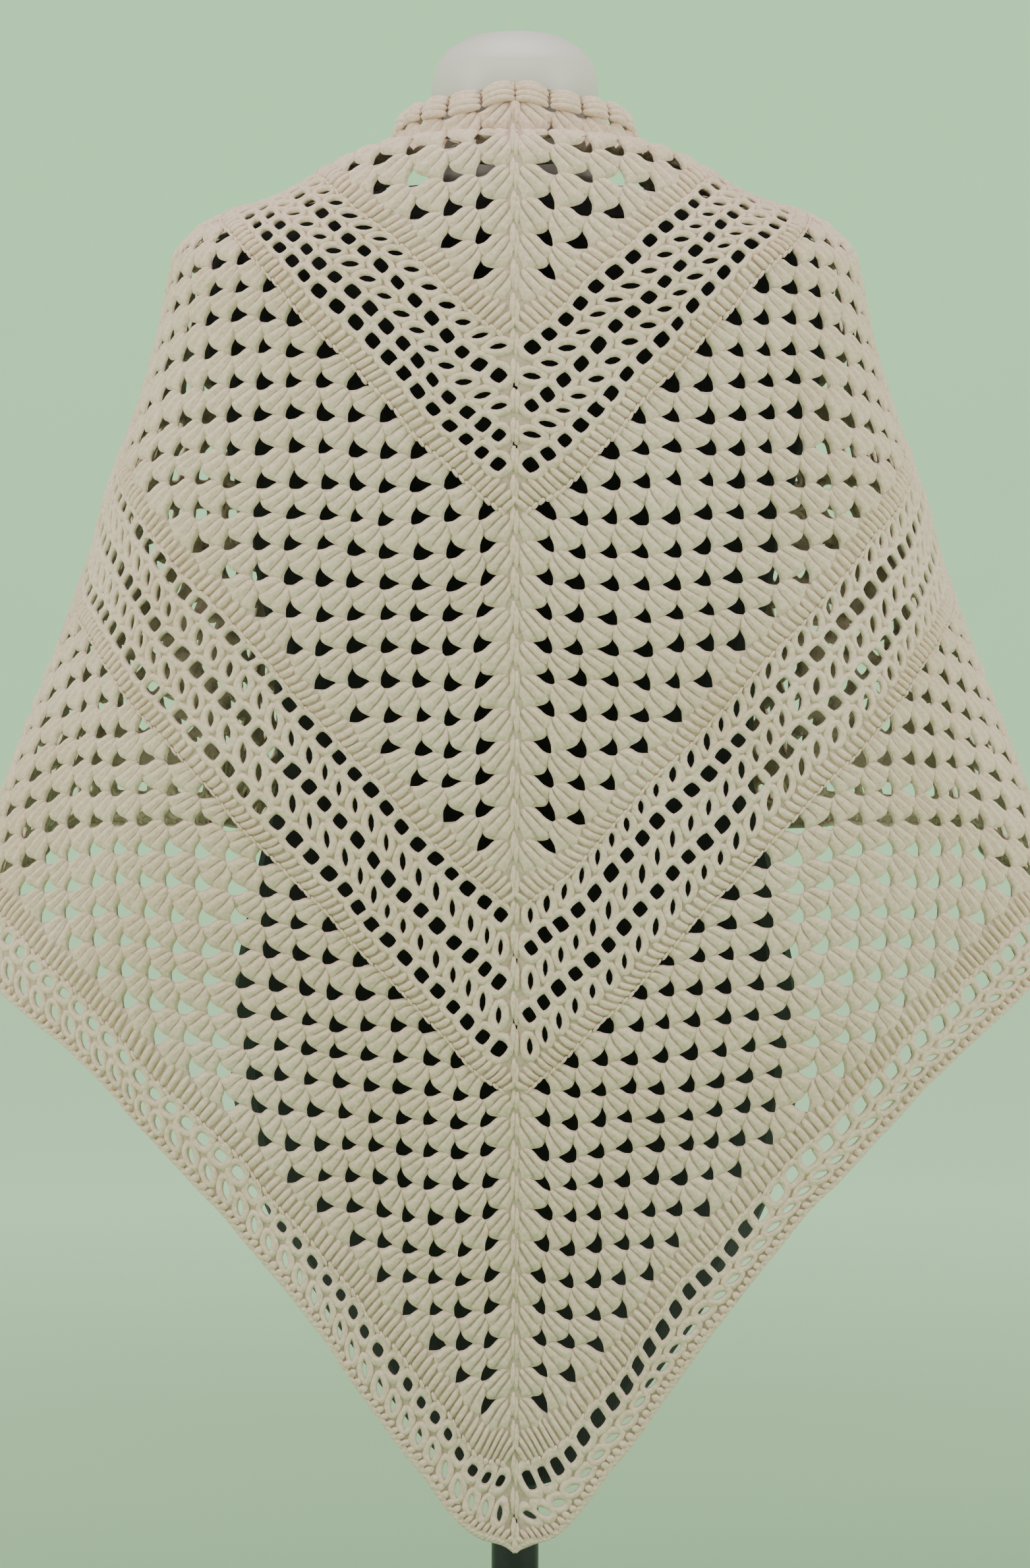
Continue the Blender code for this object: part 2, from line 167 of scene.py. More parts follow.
# Where each row lies: rows of even pitch, and where the hand-worked ones come.
ROW_PLACES = np.array((
    (0.0, 0.0),
    (9.5, 10.40),
    (10.5, 11.43),
    (11.5, 12.38),
    (15.5, 16.03),
    (17.5, 17.92),
    (27.5, 28.16),
    (28.5, 29.18),
    (29.5, 29.98),
    (33.5, 34.13),
    (34.5, 35.05),
    (35.5, 35.74),
    (45.5, 45.33),
    (46.5, 46.43),
    (47.5, 47.60),
    (48.5, 48.65),
    (49.6, 49.60),
))

# How the hand-worked rows waver: waves with a size, a rate across and along, and a turn.
SWAY = (
    (0.075, 0.31, 0.83, 0.7),
    (0.055, 1.07, 0.46, 1.9),
    (0.040, 0.62, 1.71, 2.6),
)

# Bands of rows, from the top edge down: first row, one past the last, stitch.
BANDS = (
    (0, 10, "granny"),
    (10, 11, "solid"),
    (11, 16, "mesh"),
    (16, 17, "solid"),
    (17, 28, "granny"),
    (28, 29, "solid"),
    (29, 34, "mesh"),
    (34, 35, "solid"),
    (35, 46, "granny"),
    (46, 47, "solid"),
    (47, 49, "small"),
)
STITCH = {row: word for first, end, word in BANDS for row in range(first, end)}
BODY_ROWS = 49

# Shapes of the gaps in the mesh rows, left and right: B wide, F flat, T tall, S small,
# L leaning.
MESH_GAPS = {
    11: "FB", 12: "BF", 13: "FB", 14: "BF", 15: "BB",
    29: "BT", 30: "TB", 31: "BT", 32: "TB", 33: "BT",
    47: "SB", 48: "TL",
}

# Each shape: half length, half width and squareness, and the turn of its length from the
# row towards the hem, in degrees.
GAP_SHAPES = {
    "B": (0.315, 0.300, 3.2, 0.0),
    "F": (0.39, 0.155, 1.8, 45.0),
    "T": (0.39, 0.145, 1.8, -45.0),
    "S": (0.27, 0.21, 2.6, 0.0),
    "L": (0.36, 0.14, 1.9, 20.0),
}


def spline(rows, column, at):
    """A smooth curve through one column of a table, straight beyond its ends."""
    x = rows[:, 0]
    y = rows[:, column]
    slope = np.empty_like(y)
    slope[1:-1] = (y[2:] - y[:-2]) / (x[2:] - x[:-2])
    slope[0] = (y[1] - y[0]) / (x[1] - x[0])
    slope[-1] = (y[-1] - y[-2]) / (x[-1] - x[-2])
    k = np.clip(np.searchsorted(x, at) - 1, 0, len(x) - 2)
    run = x[k + 1] - x[k]
    t = np.clip((at - x[k]) / run, 0.0, 1.0)
    near = (1.0 + 2.0 * t) * (1.0 - t) ** 2 * y[k] + t * (1.0 - t) ** 2 * run * slope[k]
    far = t * t * (3.0 - 2.0 * t) * y[k + 1] - t * t * (1.0 - t) * run * slope[k + 1]
    before = np.minimum(at - x[0], 0.0) * slope[0]
    beyond = np.maximum(at - x[-1], 0.0) * slope[-1]
    return near + far + before + beyond


def ease(value):
    """0 to 1 with a soft start and end."""
    value = np.clip(value, 0.0, 1.0)
    return value * value * (3.0 - 2.0 * value)


def ring_point(angle, width, depth):
    """A point of the level ring at an angle from the depth line, a little full at the corners."""
    full = 1.0 + CORNER_FULLNESS * np.sin(2.0 * angle) ** 2
    return width * np.sin(angle) * full, depth * np.cos(angle) * full


def quarter_lengths(width, depth):
    """Lengths along a quarter of each ring, step by step."""
    angles = 0.5 * math.pi * np.arange(RING_STEPS + 1) / RING_STEPS
    x, y = ring_point(angles[None, :], width[:, None], depth[:, None])
    steps = np.hypot(np.diff(x, axis=1), np.diff(y, axis=1))
    return np.concatenate([np.zeros((len(width), 1)), np.cumsum(steps, axis=1)], axis=1)


def along(lengths, distance, width, depth):
    """The point at a distance along a ring, and its outward direction."""
    k = np.clip((lengths[:, 1:] < distance[:, None]).sum(axis=1), 0, RING_STEPS - 1)
    rows = np.arange(len(k))
    share = (distance - lengths[rows, k]) / (lengths[rows, k + 1] - lengths[rows, k])
    angle = 0.5 * math.pi * (k + share) / RING_STEPS
    near_x, near_y = ring_point(angle - RING_PROBE, width, depth)
    far_x, far_y = ring_point(angle + RING_PROBE, width, depth)
    run = np.hypot(far_x - near_x, far_y - near_y)
    x, y = ring_point(angle, width, depth)
    return x, y, (near_y - far_y) / run, (far_x - near_x) / run


def fold_depth(folds, at):
    """How far the folds push the cloth out at a place."""
    return sum(depth * np.exp(-(((at - place) / half) ** 2)) for place, half, depth in folds)


def drape(u, v):
    """Where the flat points u, v hang. u below 0 is the left half."""
    side = np.where(u < 0.0, -1.0, 1.0)
    u = np.abs(u)
    rounding = SPINE_ROUNDING + TIP_ROUNDING * ease((v - TIP_START) / (TIP_END - TIP_START))
    v = v - rounding * np.exp(-((u / SPINE_ROUNDING_WIDTH) ** 2))
    radius = np.hypot(u, v + FAN_HEIGHT)
    fan = np.arctan2(u, v + FAN_HEIGHT)
    way = radius - FAN_HEIGHT
    width = spline(SIDE_LINE, 1, way)
    back = spline(BACK_LINE, 1, way)
    front = spline(FRONT_LINE, 1, way)
    reach = radius * fan
    fullness = ease((way - FOLD_START) / (FOLD_FULL - FOLD_START))
    lengths = quarter_lengths(width, back)
    quarter = lengths[:, -1]
    side_fan = quarter / radius
    side_height = spline(SIDE_LINE, 2, way)

    x_b, y_b, out_x, out_y = along(lengths, np.minimum(reach, quarter), width, back)
    share = fan / side_fan
    panel = ease((way - COLLAR_END) / COLLAR_END)
    spine_height = spline(BACK_LINE, 2, way - radius * (1.0 - np.cos(fan)) * panel)
    z_b = spine_height + (side_height - spine_height) * ease(share) * share
    push = fold_depth(BACK_FOLDS, reach) * fullness
    x_b = x_b + out_x * push
    y_b = -y_b - out_y * push

    lengths = quarter_lengths(width, front)
    share = (reach - quarter) / (radius * (FAN_END - side_fan))
    left = 1.0 - share
    spread = 1.0 - np.sign(left) * np.abs(left) ** FRONT_SPREAD
    usable = lengths[:, -1] - FRONT_GAP
    x_f, y_f, out_x, out_y = along(lengths, lengths[:, -1] - usable * spread, width, front)
    z_f = side_height + (spline(FRONT_LINE, 2, way) - side_height) * ease(spread)
    push = fold_depth(FRONT_FOLDS, share) * ease(share / FOLD_RISE)
    push = (push + fold_depth(BACK_FOLDS, reach)) * fullness
    x_f = x_f + out_x * push
    y_f = y_f + out_y * push

    behind = reach <= quarter
    x = np.where(behind, x_b, x_f) * side
    y = np.where(behind, y_b, y_f)
    z = np.where(behind, z_b, z_f)
    x = x * (1.0 - HEM_NARROWING * np.exp(-(((z - HEM_NARROW_HEIGHT) / HEM_NARROW_SPAN) ** 2)))
    return np.stack([x, y, z + TIP_HEIGHT], axis=-1)


def make_grid():
    """The drape and its outward direction on a fine grid of the right half."""
    us = np.arange(GRID_U0, GRID_END, GRID)
    vs = np.arange(GRID_V0, GRID_END, GRID)
    uu, vv = np.meshgrid(us, vs, indexing="ij")
    needed = uu + vv < FLAT_DEPTH + 0.03
    points = np.zeros(uu.shape + (3,))
    points[needed] = drape(uu[needed], vv[needed])
    du = np.gradient(points, axis=0)
    dv = np.gradient(points, axis=1)
    out = np.cross(dv, du)
    out /= np.maximum(np.linalg.norm(out, axis=-1, keepdims=True), 1e-9)
    return points, out


GRID_POINTS, GRID_OUT = make_grid()


def place(side, w, c, n):
    """Points in space for row w, place c along it and height n above the cloth."""
    inside = np.clip(0.4 * (w + c), 0.0, 1.0) * np.clip(0.4 * (w - c), 0.0, 1.0)
    sway = inside * sum(size * np.sin(a * w + b * c + side * turn) for size, a, b, turn in SWAY)
    swing = inside * sum(size * np.cos(b * w - a * c - side * turn) for size, a, b, turn in SWAY)
    w = w + sway
    c = c + swing
    lies = np.interp(w, ROW_PLACES[:, 0], ROW_PLACES[:, 1])
    ratio = np.where(w > 1.0, lies / np.maximum(w, 1.0), ROW_PLACES[1, 1] / ROW_PLACES[1, 0])
    u = 0.5 * ROW_PITCH * (w + c) * ratio
    v = 0.5 * ROW_PITCH * (w - c) * ratio
    beyond = np.where(u < 0.0, -1.0, 1.0)
    a = (np.abs(u) - GRID_U0) / GRID
    b = (v - GRID_V0) / GRID
    i = np.clip(a.astype(int), 0, GRID_POINTS.shape[0] - 2)
    j = np.clip(b.astype(int), 0, GRID_POINTS.shape[1] - 2)
    s = (a - i)[..., None]
    t = (b - j)[..., None]

    def mix(grid):
        low = grid[i, j] * (1.0 - s) + grid[i + 1, j] * s
        high = grid[i, j + 1] * (1.0 - s) + grid[i + 1, j + 1] * s
        return low * (1.0 - t) + high * t

    point = mix(GRID_POINTS) + mix(GRID_OUT) * (n + LIFT)[..., None]
    point[..., 0] *= side * beyond
    return point


# The granny clusters: points along and across each, half widths at the start and the end,
# the rounded top and how far its sides fall back, its lean, height, and the post grooves.
PILLOW_ROWS = 8
PILLOW_COLUMNS = 13
PILLOW_START = 0.36
PILLOW_END = 1.00
PILLOW_DOME = 0.25
PILLOW_SHOULDER = 0.10
PILLOW_LEAN = 0.12
PILLOW_HIGH = 0.0038
PILLOW_GROOVE = 0.0028
PILLOW_UNDERSIDE = -0.0006

# The mesh: points round each gap, how far its strand lies outside it, the strand's half
# sizes and sides, and how far outside it the core is cut.
MESH_POINTS = 12
MESH_SPREAD = 0.18
STRAND_WIDE = 0.19
STRAND_HIGH = 0.0024
STRAND_SIDES = 6
CORE_SPREAD = 0.07

# How far a tube's rounded end reaches, as a share of its half width.
TUBE_TIP = 0.75

# Places of the posts of the solid rows and of the border along their rows.
SOLID_SPACING = 0.40
BORDER_SPACING = 0.42

# The core's gap in a granny row, across and along the row, and how much larger it is below
# a solid row.
GRANNY_GAP = ((-0.16, 0.52), (-0.38, 0.52), (-0.44, 0.0), (-0.38, -0.52), (-0.16, -0.52),
              (0.02, -0.40), (0.20, -0.26), (0.44, 0.0), (0.20, 0.26), (0.02, 0.40))
FIRST_GAP_TALLER = 1.15
FIRST_GAP_WIDER = 1.1

# How far from the spine the core's corner between two rows lies.
SPINE_CORNER_SOLID = 0.10
SPINE_CORNER_OPEN = 0.16


class Yarn:
    """Collects stitches for one mesh: corners, faces and the lie of the yarn along them."""

    def __init__(self):
        self.points = []
        self.quads = []
        self.quad_uvs = []
        self.tris = []
        self.tri_uvs = []
        self.count = 0

    def add(self, side, points, quads, tris, quad_uvs=None, tri_uvs=None):
        """Stitches of one make: the corners of each, and the faces that each has."""
        count, per = points.shape[:2]
        if side < 0:
            quads = quads[:, ::-1]
            tris = tris[:, ::-1]
        if quad_uvs is None:
            quad_uvs = np.zeros((count, len(quads), 4, 2))
        if tri_uvs is None:
            tri_uvs = np.zeros((count, len(tris), 3, 2))
        shift = (self.count + per * np.arange(count))[:, None, None]
        self.points.append(points.reshape(-1, 3))
        self.quads.append((quads + shift).reshape(-1, 4))
        self.quad_uvs.append(quad_uvs.reshape(-1, 4, 2))
        self.tris.append((tris + shift).reshape(-1, 3))
        self.tri_uvs.append(tri_uvs.reshape(-1, 3, 2))
        self.count += count * per

    def finish(self, name, material, slot):
        quads = np.concatenate(self.quads)
        tris = np.concatenate(self.tris)
        uvs = np.concatenate([np.concatenate(self.quad_uvs).reshape(-1, 2),
                              np.concatenate(self.tri_uvs).reshape(-1, 2)])
        obj = mesh_object(name, np.concatenate(self.points), quads, tris, uvs, material)
        print(name, len(quads) * 2 + len(tris), "triangles")
        return obj


def mesh_object(name, points, quads, tris, uvs, material):
    """An object from arrays of corners and faces, smooth-shaded, riding on the root."""
    data = bpy.data.meshes.new(name)
    data.vertices.add(len(points))
    data.vertices.foreach_set("co", points.astype(np.float32).ravel())
    corners = np.concatenate([quads.ravel(), tris.ravel()]).astype(np.int32)
    data.loops.add(len(corners))
    data.loops.foreach_set("vertex_index", corners)
    starts = np.concatenate([np.arange(len(quads)) * 4, len(quads) * 4 + np.arange(len(tris)) * 3])
    data.polygons.add(len(quads) + len(tris))
    data.polygons.foreach_set("loop_start", starts.astype(np.int32))
    if uvs is not None:
        layer = data.uv_layers.new(name="UVMap")
        layer.data.foreach_set("uv", uvs.astype(np.float32).ravel())
    data.update(calc_edges=True)
    data.shade_smooth()
    data.materials.append(material)
    obj = bpy.data.objects.new(name, data)
    bpy.context.scene.collection.objects.link(obj)
    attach(obj, "root")
    return obj


def ring_quads(near, far, sides):
    """Quads that join rings of corners, by the numbers of the rings."""
    k = np.arange(sides)[None, :]
    nxt = (k + 1) % sides
    near = near[:, None] * sides
    far = far[:, None] * sides
    return np.stack([near + k, near + nxt, far + nxt, far + k], axis=-1).reshape(-1, 4)


def tube_faces(rings, sides):
    """Faces of a closed tube: its rings of corners come first, then its two poles."""
    ring = np.arange(rings - 1)
    k = np.arange(sides)
    nxt = (k + 1) % sides
    pole = np.full(sides, rings * sides)
    last = (rings - 1) * sides
    tris = np.concatenate([np.stack([pole, nxt, k], axis=-1),
                           np.stack([pole + 1, last + k, last + nxt], axis=-1)])
    return ring_quads(ring, ring + 1, sides), tris


def wrapped_uvs(lo, hi, sides, side):
    """UVs of the quads round a tube, from the lengths along it at which they start and end."""
    shape = lo.shape + (sides,)
    lo = np.broadcast_to(lo[..., None], shape)
    hi = np.broadcast_to(hi[..., None], shape)
    girth = np.arange(sides + 1) / sides
    g0 = np.broadcast_to(girth[:-1], shape)
    g1 = np.broadcast_to(girth[1:], shape)
    uvs = np.stack([np.stack([lo, g0], -1), np.stack([lo, g1], -1),
                    np.stack([hi, g1], -1), np.stack([hi, g0], -1)], axis=-2)
    return uvs[..., ::-1, :] if side < 0 else uvs


def tubes(yarn, side, w, c, n, wide, high, sides):
    """Rounded tubes along paths: arrays of stitches by points for w, c, n and half sizes."""
    count, rings = w.shape
    wide = np.broadcast_to(wide, w.shape)
    high = np.broadcast_to(high, w.shape)
    dw = np.gradient(w, axis=1)
    dc = np.gradient(c, axis=1)
    run = np.maximum(np.hypot(dw, dc), 1e-6)
    turn = 2.0 * math.pi * np.arange(sides) / sides
    offset = wide[..., None] * np.cos(turn)
    ring_w = w[..., None] + (dc / run)[..., None] * offset
    ring_c = c[..., None] + (-dw / run)[..., None] * offset
    ring_n = n[..., None] + high[..., None] * np.sin(turn)
    pole_w = []
    pole_c = []
    for end, sign in ((0, -1.0), (-1, 1.0)):
        reach = sign * TUBE_TIP * wide[:, end]
        pole_w.append(w[:, end] + reach * dw[:, end] / run[:, end])
        pole_c.append(c[:, end] + reach * dc[:, end] / run[:, end])
    all_w = np.concatenate([ring_w.reshape(count, -1), np.stack(pole_w, 1)], axis=1)
    all_c = np.concatenate([ring_c.reshape(count, -1), np.stack(pole_c, 1)], axis=1)
    all_n = np.concatenate([ring_n.reshape(count, -1), n[:, [0, -1]]], axis=1)
    points = place(side, all_w, all_c, all_n)
    quads, tris = tube_faces(rings, sides)
    length = np.cumsum(run, axis=1) * UNIT * 1000.0
    tri_uvs = np.zeros((count, 2 * sides, 3, 2))
    tri_uvs[:, :sides, :, 0] = length[:, 0, None, None]
    tri_uvs[:, sides:, :, 0] = length[:, -1, None, None]
    yarn.add(side, points, quads, tris,
             wrapped_uvs(length[:, :-1], length[:, 1:], sides, side), tri_uvs)


def loops(yarn, side, w, c, n, wide, high, sides):
    """Closed tubes round gaps: arrays of gaps by points for w, c and n."""
    count, rings = w.shape
    dw = np.roll(w, -1, axis=1) - np.roll(w, 1, axis=1)
    dc = np.roll(c, -1, axis=1) - np.roll(c, 1, axis=1)
    run = np.maximum(np.hypot(dw, dc), 1e-6)
    turn = 2.0 * math.pi * np.arange(sides) / sides
    offset = wide * np.cos(turn)
    ring_w = w[..., None] + (dc / run)[..., None] * offset
    ring_c = c[..., None] - (dw / run)[..., None] * offset
    ring_n = n[..., None] + high * np.sin(turn)
    points = place(side, ring_w.reshape(count, -1), ring_c.reshape(count, -1),
                   ring_n.reshape(count, -1))
    ring = np.arange(rings)
    step = 0.5 * run * UNIT * 1000.0
    hi = np.cumsum(step, axis=1)
    yarn.add(side, points, ring_quads(ring, (ring + 1) % rings, sides),
             np.zeros((0, 3), int), wrapped_uvs(hi - step, hi, sides, side))


def jitter(shape, size):
    """Small even random offsets."""
    return rng.uniform(-size, size, shape)


def cluster_places(row):
    """Places of the clusters of three in a granny row, from the spine to the top edge."""
    w = row + 0.5
    return -w + 1.0 + 2.0 * np.arange(row + 1)


def gap_places(row):
    """Places of the gaps in a row."""
    w = row + 0.5
    if STITCH[row] == "granny":
        return -w + 2.0 + 2.0 * np.arange(row)
    if STITCH[row] in ("mesh", "small"):
        return -w + 1.0 + np.arange(2 * row)
    return np.zeros(0)


def granny_row(yarn, side, row):
    """Puffy clusters of three posts, each a pillow that ends in a rounded top."""
    centre = cluster_places(row)
    count = len(centre)
    s = np.linspace(0.0, 1.0, PILLOW_ROWS)[None, :, None]
    m = np.linspace(-1.0, 1.0, PILLOW_COLUMNS)[None, None, :]
    middle = centre[:, None, None] + jitter((count, 1, 1), 0.06)
    size = 1.0 + jitter((count, 1, 1), 0.06)
    # The first cluster reaches over the spine, the last one is tucked in at the top edge.
    low_side = np.where(np.arange(count)[:, None, None] == 0, 1.06, 1.0)
    high_side = np.where(np.arange(count)[:, None, None] == count - 1, 0.55, 1.0)
    stretch = np.where(m < 0.0, low_side, high_side)
    half = PILLOW_START + (PILLOW_END - PILLOW_START) * s
    half = half + 0.075 * np.sin(2.0 * math.pi * s)
    c = middle + m * half * stretch * size
    dome = PILLOW_DOME * np.exp(-((m / 0.50) ** 2)) - PILLOW_SHOULDER * np.abs(m) ** 3.0
    reach = 1.16 + dome + jitter((count, 1, 1), 0.03)
    w = row - 0.14 + reach * s
    c = c + PILLOW_LEAN * s ** 2 * (1.0 - m * m)
    c = np.minimum(c, w + 0.03)
    rim = np.clip((1.0 - np.abs(m) ** 4.5), 0.0, 1.0) ** 0.5
    ends = np.clip(1.0 - s ** 7.0, 0.0, 1.0) ** 0.5 * (1.0 - 0.6 * (1.0 - s) ** 6.0)
    posts = np.exp(-(((np.abs(m) - 0.333) / 0.07) ** 2)) * np.sin(math.pi * s) ** 0.5
    rise = 0.75 + 0.25 * s
    n = PILLOW_HIGH * rim * ends * rise * size - PILLOW_GROOVE * posts
    n = n + jitter(w.shape, 0.00022) + jitter((count, 1, 1), 0.0002) - 0.0002
    pillows(yarn, side, w, c, n)


def pillows(yarn, side, w, c, n):
    """Closed pillows: grids of places for the tops, and flat undersides along their rims."""
    count, rows, columns = w.shape
    top = place(side, w.reshape(count, -1), c.reshape(count, -1), n.reshape(count, -1))
    low = place(side, w.reshape(count, -1), c.reshape(count, -1),
                np.full((count, rows * columns), PILLOW_UNDERSIDE))
    i = np.arange(rows - 1)[:, None]
    j = np.arange(columns - 1)[None, :]
    corner = i * columns + j
    tops = np.stack([corner, corner + 1, corner + columns + 1, corner + columns], axis=-1)
    tops = tops.reshape(-1, 4)
    rim = np.concatenate([np.arange(columns), np.arange(2, rows) * columns - 1,
                          rows * columns - 1 - np.arange(columns),
                          np.arange(rows - 2, 0, -1) * columns])
    base = rows * columns
    size = len(rim)
    k = np.arange(size)
    nxt = (k + 1) % size
    walls = np.stack([rim, rim[nxt], base + nxt, base + k], axis=-1)
    # The underside joins the rim's left and right halves in a strip.
    left = (size - 1 - np.arange(size // 2 - 1)) % size
    right = np.arange(1, size // 2)
    strip = np.stack([base + right[:-1], base + right[1:], base + left[1:], base + left[:-1]], -1)
    caps = np.array([[base, base + 1, base + size - 1],
                     [base + size // 2 - 1, base + size // 2, base + size // 2 + 1]])
    quads = np.concatenate([tops[:, ::-1], walls, strip])
    yarn.add(side, np.concatenate([top, low[:, rim]], axis=1), quads, caps)


def links(yarn, side, w, c, n, half):
    """The top loops of a row's stitches, each a short strand laid along the row."""
    t = np.array([-0.9, 0.0, 0.9])
    count = len(w)
    ww = w[:, None] - 0.05 * t[None, :] + jitter((count, 1), 0.015)
    cc = np.minimum(c[:, None] + half * t[None, :], ww + 0.04)
    nn = n[:, None] + np.array([-0.0006, 0.0004, -0.0004])[None, :]
    tubes(yarn, side, ww, cc, nn, (0.075, 0.10, 0.085), (0.0011, 0.0015, 0.0012), 5)


def solid_row(yarn, side, row):
    """A row of posts side by side."""
    middle = np.arange(-row - 0.5 + 0.32, row + 0.5 - 0.1, SOLID_SPACING)
    t = np.linspace(0.0, 1.0, 5)
    count = len(middle)
    start = -0.52 + jitter(count, 0.03)
    end = 0.50 + jitter(count, 0.03)
    w = row + 0.5 + start[:, None] + (end - start)[:, None] * t
    c = middle[:, None] + jitter((count, 1), 0.03) + 0.10 * (t - 0.5)
    c = np.clip(c, -w + 0.02, w - 0.02)
    n = 0.0004 + 0.0009 * np.sin(math.pi * t)[None, :] + jitter((count, 1), 0.0002)
    size = 1.0 + jitter(count, 0.05)
    wide = np.array([0.11, 0.155, 0.17, 0.17, 0.14])[None, :] * size[:, None]
    high = np.array([0.0016, 0.0023, 0.0025, 0.0024, 0.0018])[None, :] * size[:, None]
    tubes(yarn, side, w, c, n, wide, high, 6)
    links(yarn, side, w[:, -1] + 0.02, c[:, -1], n[:, -2] + 0.0009, 0.20)


def gap_shape(row, side):
    """Half length, half width, squareness and turn of the gaps in a mesh row."""
    word = MESH_GAPS[row][0 if side < 0 else 1]
    return GAP_SHAPES[word]


def gap_outline(shape, points, spread):
    """A gap's outline about its middle, as offsets across and along the row."""
    half_long, half_wide, square, turn = shape
    angle = 2.0 * math.pi * (np.arange(points) + 0.5) / points
    reach = (np.abs(np.cos(angle)) ** square + np.abs(np.sin(angle)) ** square) ** (-1.0 / square)
    x = (half_long + spread) * reach * np.cos(angle)
    y = (half_wide + spread) * reach * np.sin(angle)
    a = math.radians(turn)
    return x * math.sin(a) + y * math.cos(a), x * math.cos(a) - y * math.sin(a)


def mesh_row(yarn, side, row):
    """Strands looped round each gap of a mesh row."""
    shape = gap_shape(row, side)
    centre = gap_places(row)
    dw, dc = gap_outline(shape, MESH_POINTS, MESH_SPREAD)
    count = len(centre)
    grow = 1.0 + jitter((count, 1), 0.06)
    w = row + 0.5 + dw[None, :] * grow + jitter((count, 1), 0.025)
    c = centre[:, None] + dc[None, :] * grow + jitter((count, 1), 0.025)
    c = np.clip(c, -w - 0.06, w - 0.02)
    n = 0.0005 + jitter((count, MESH_POINTS), 0.0002) + jitter((count, 1), 0.0002)
    loops(yarn, side, w, c, n, STRAND_WIDE, STRAND_HIGH, STRAND_SIDES)


def spine_stitches(yarn):
    """Two short posts to a row over the spine, with a pit between each two."""
    t = np.linspace(0.0, 1.0, 5)
    for shift in (-0.10, 0.10):
        start = np.arange(0.35, BODY_ROWS - 0.5, 1.0) + (0.25 if shift > 0.0 else 0.0)
        start = start + jitter(len(start), 0.04)
        w = start[:, None] + 0.78 * t[None, :]
        c = -w + shift + jitter((len(start), 1), 0.03)
        n = 0.0002 + 0.0008 * np.sin(math.pi * t)[None, :] + jitter((len(start), 1), 0.0003)
        wide = (0.09, 0.13, 0.14, 0.13, 0.09)
        high = (0.0014, 0.0022, 0.0024, 0.0022, 0.0014)
        tubes(yarn, 1, w, c, n, wide, high, 6)


def edge_bumps(yarn, side):
    """The ends of the rows along the top edge, one soft bump to a row."""
    rows = np.arange(BODY_ROWS + 1)
    t = np.linspace(0.0, 1.0, 6)
    for shift, lift in ((0.10, 0.0006), (0.42, 0.0018), (0.76, 0.0024), (1.10, 0.0022)):
        w = rows[:, None] + 0.06 + shift * 0.5 + 0.86 * t[None, :]
        w = np.minimum(w, HEM_ROWS - 0.1)
        bulge = 0.10 * np.sin(math.pi * t)[None, :]
        c = w - shift + bulge + jitter((len(rows), 1), 0.02)
        n = lift + 0.0006 * np.sin(math.pi * t)[None, :] + jitter((len(rows), 1), 0.0003)
        wide = (0.12, 0.18, 0.20, 0.20, 0.18, 0.13)
        high = (0.0018, 0.0027, 0.0030, 0.0030, 0.0027, 0.0019)
        tubes(yarn, side, w, c, n, wide, high, 7)


def hem_border(yarn, side):
    """The plain border: short stitches over its width and a rounded rope along it."""
    middle = np.arange(-HEM_ROWS + 0.2, HEM_ROWS - 0.1, BORDER_SPACING)
    t = np.linspace(0.0, 1.0, 5)
    count = len(middle)
    w = 48.93 + 0.50 * t[None, :] + jitter((count, 1), 0.02)
    c = middle[:, None] + 0.12 * t[None, :] + jitter((count, 1), 0.03)
    c = np.clip(c, -w + 0.02, w - 0.02)
    n = 0.0005 + 0.0008 * np.sin(math.pi * t)[None, :] + jitter((count, 1), 0.0002)
    tubes(yarn, side, w, c, n, (0.12, 0.17, 0.19, 0.19, 0.15),
          (0.0018, 0.0024, 0.0027, 0.0027, 0.0022), 6)
    span = np.arange(-HEM_ROWS, HEM_ROWS + 0.01, 0.2)
    w = np.full((1, len(span)), HEM_ROWS - 0.16)
    c = np.clip(span[None, :], -w, w)
    n = np.full(w.shape, 0.0004)
    pulse = 1.0 + 0.07 * np.cos(2.0 * math.pi * span[None, :] / BORDER_SPACING)
    tubes(yarn, side, w, c, n, 0.19 * pulse, 0.0029 * pulse, 8)


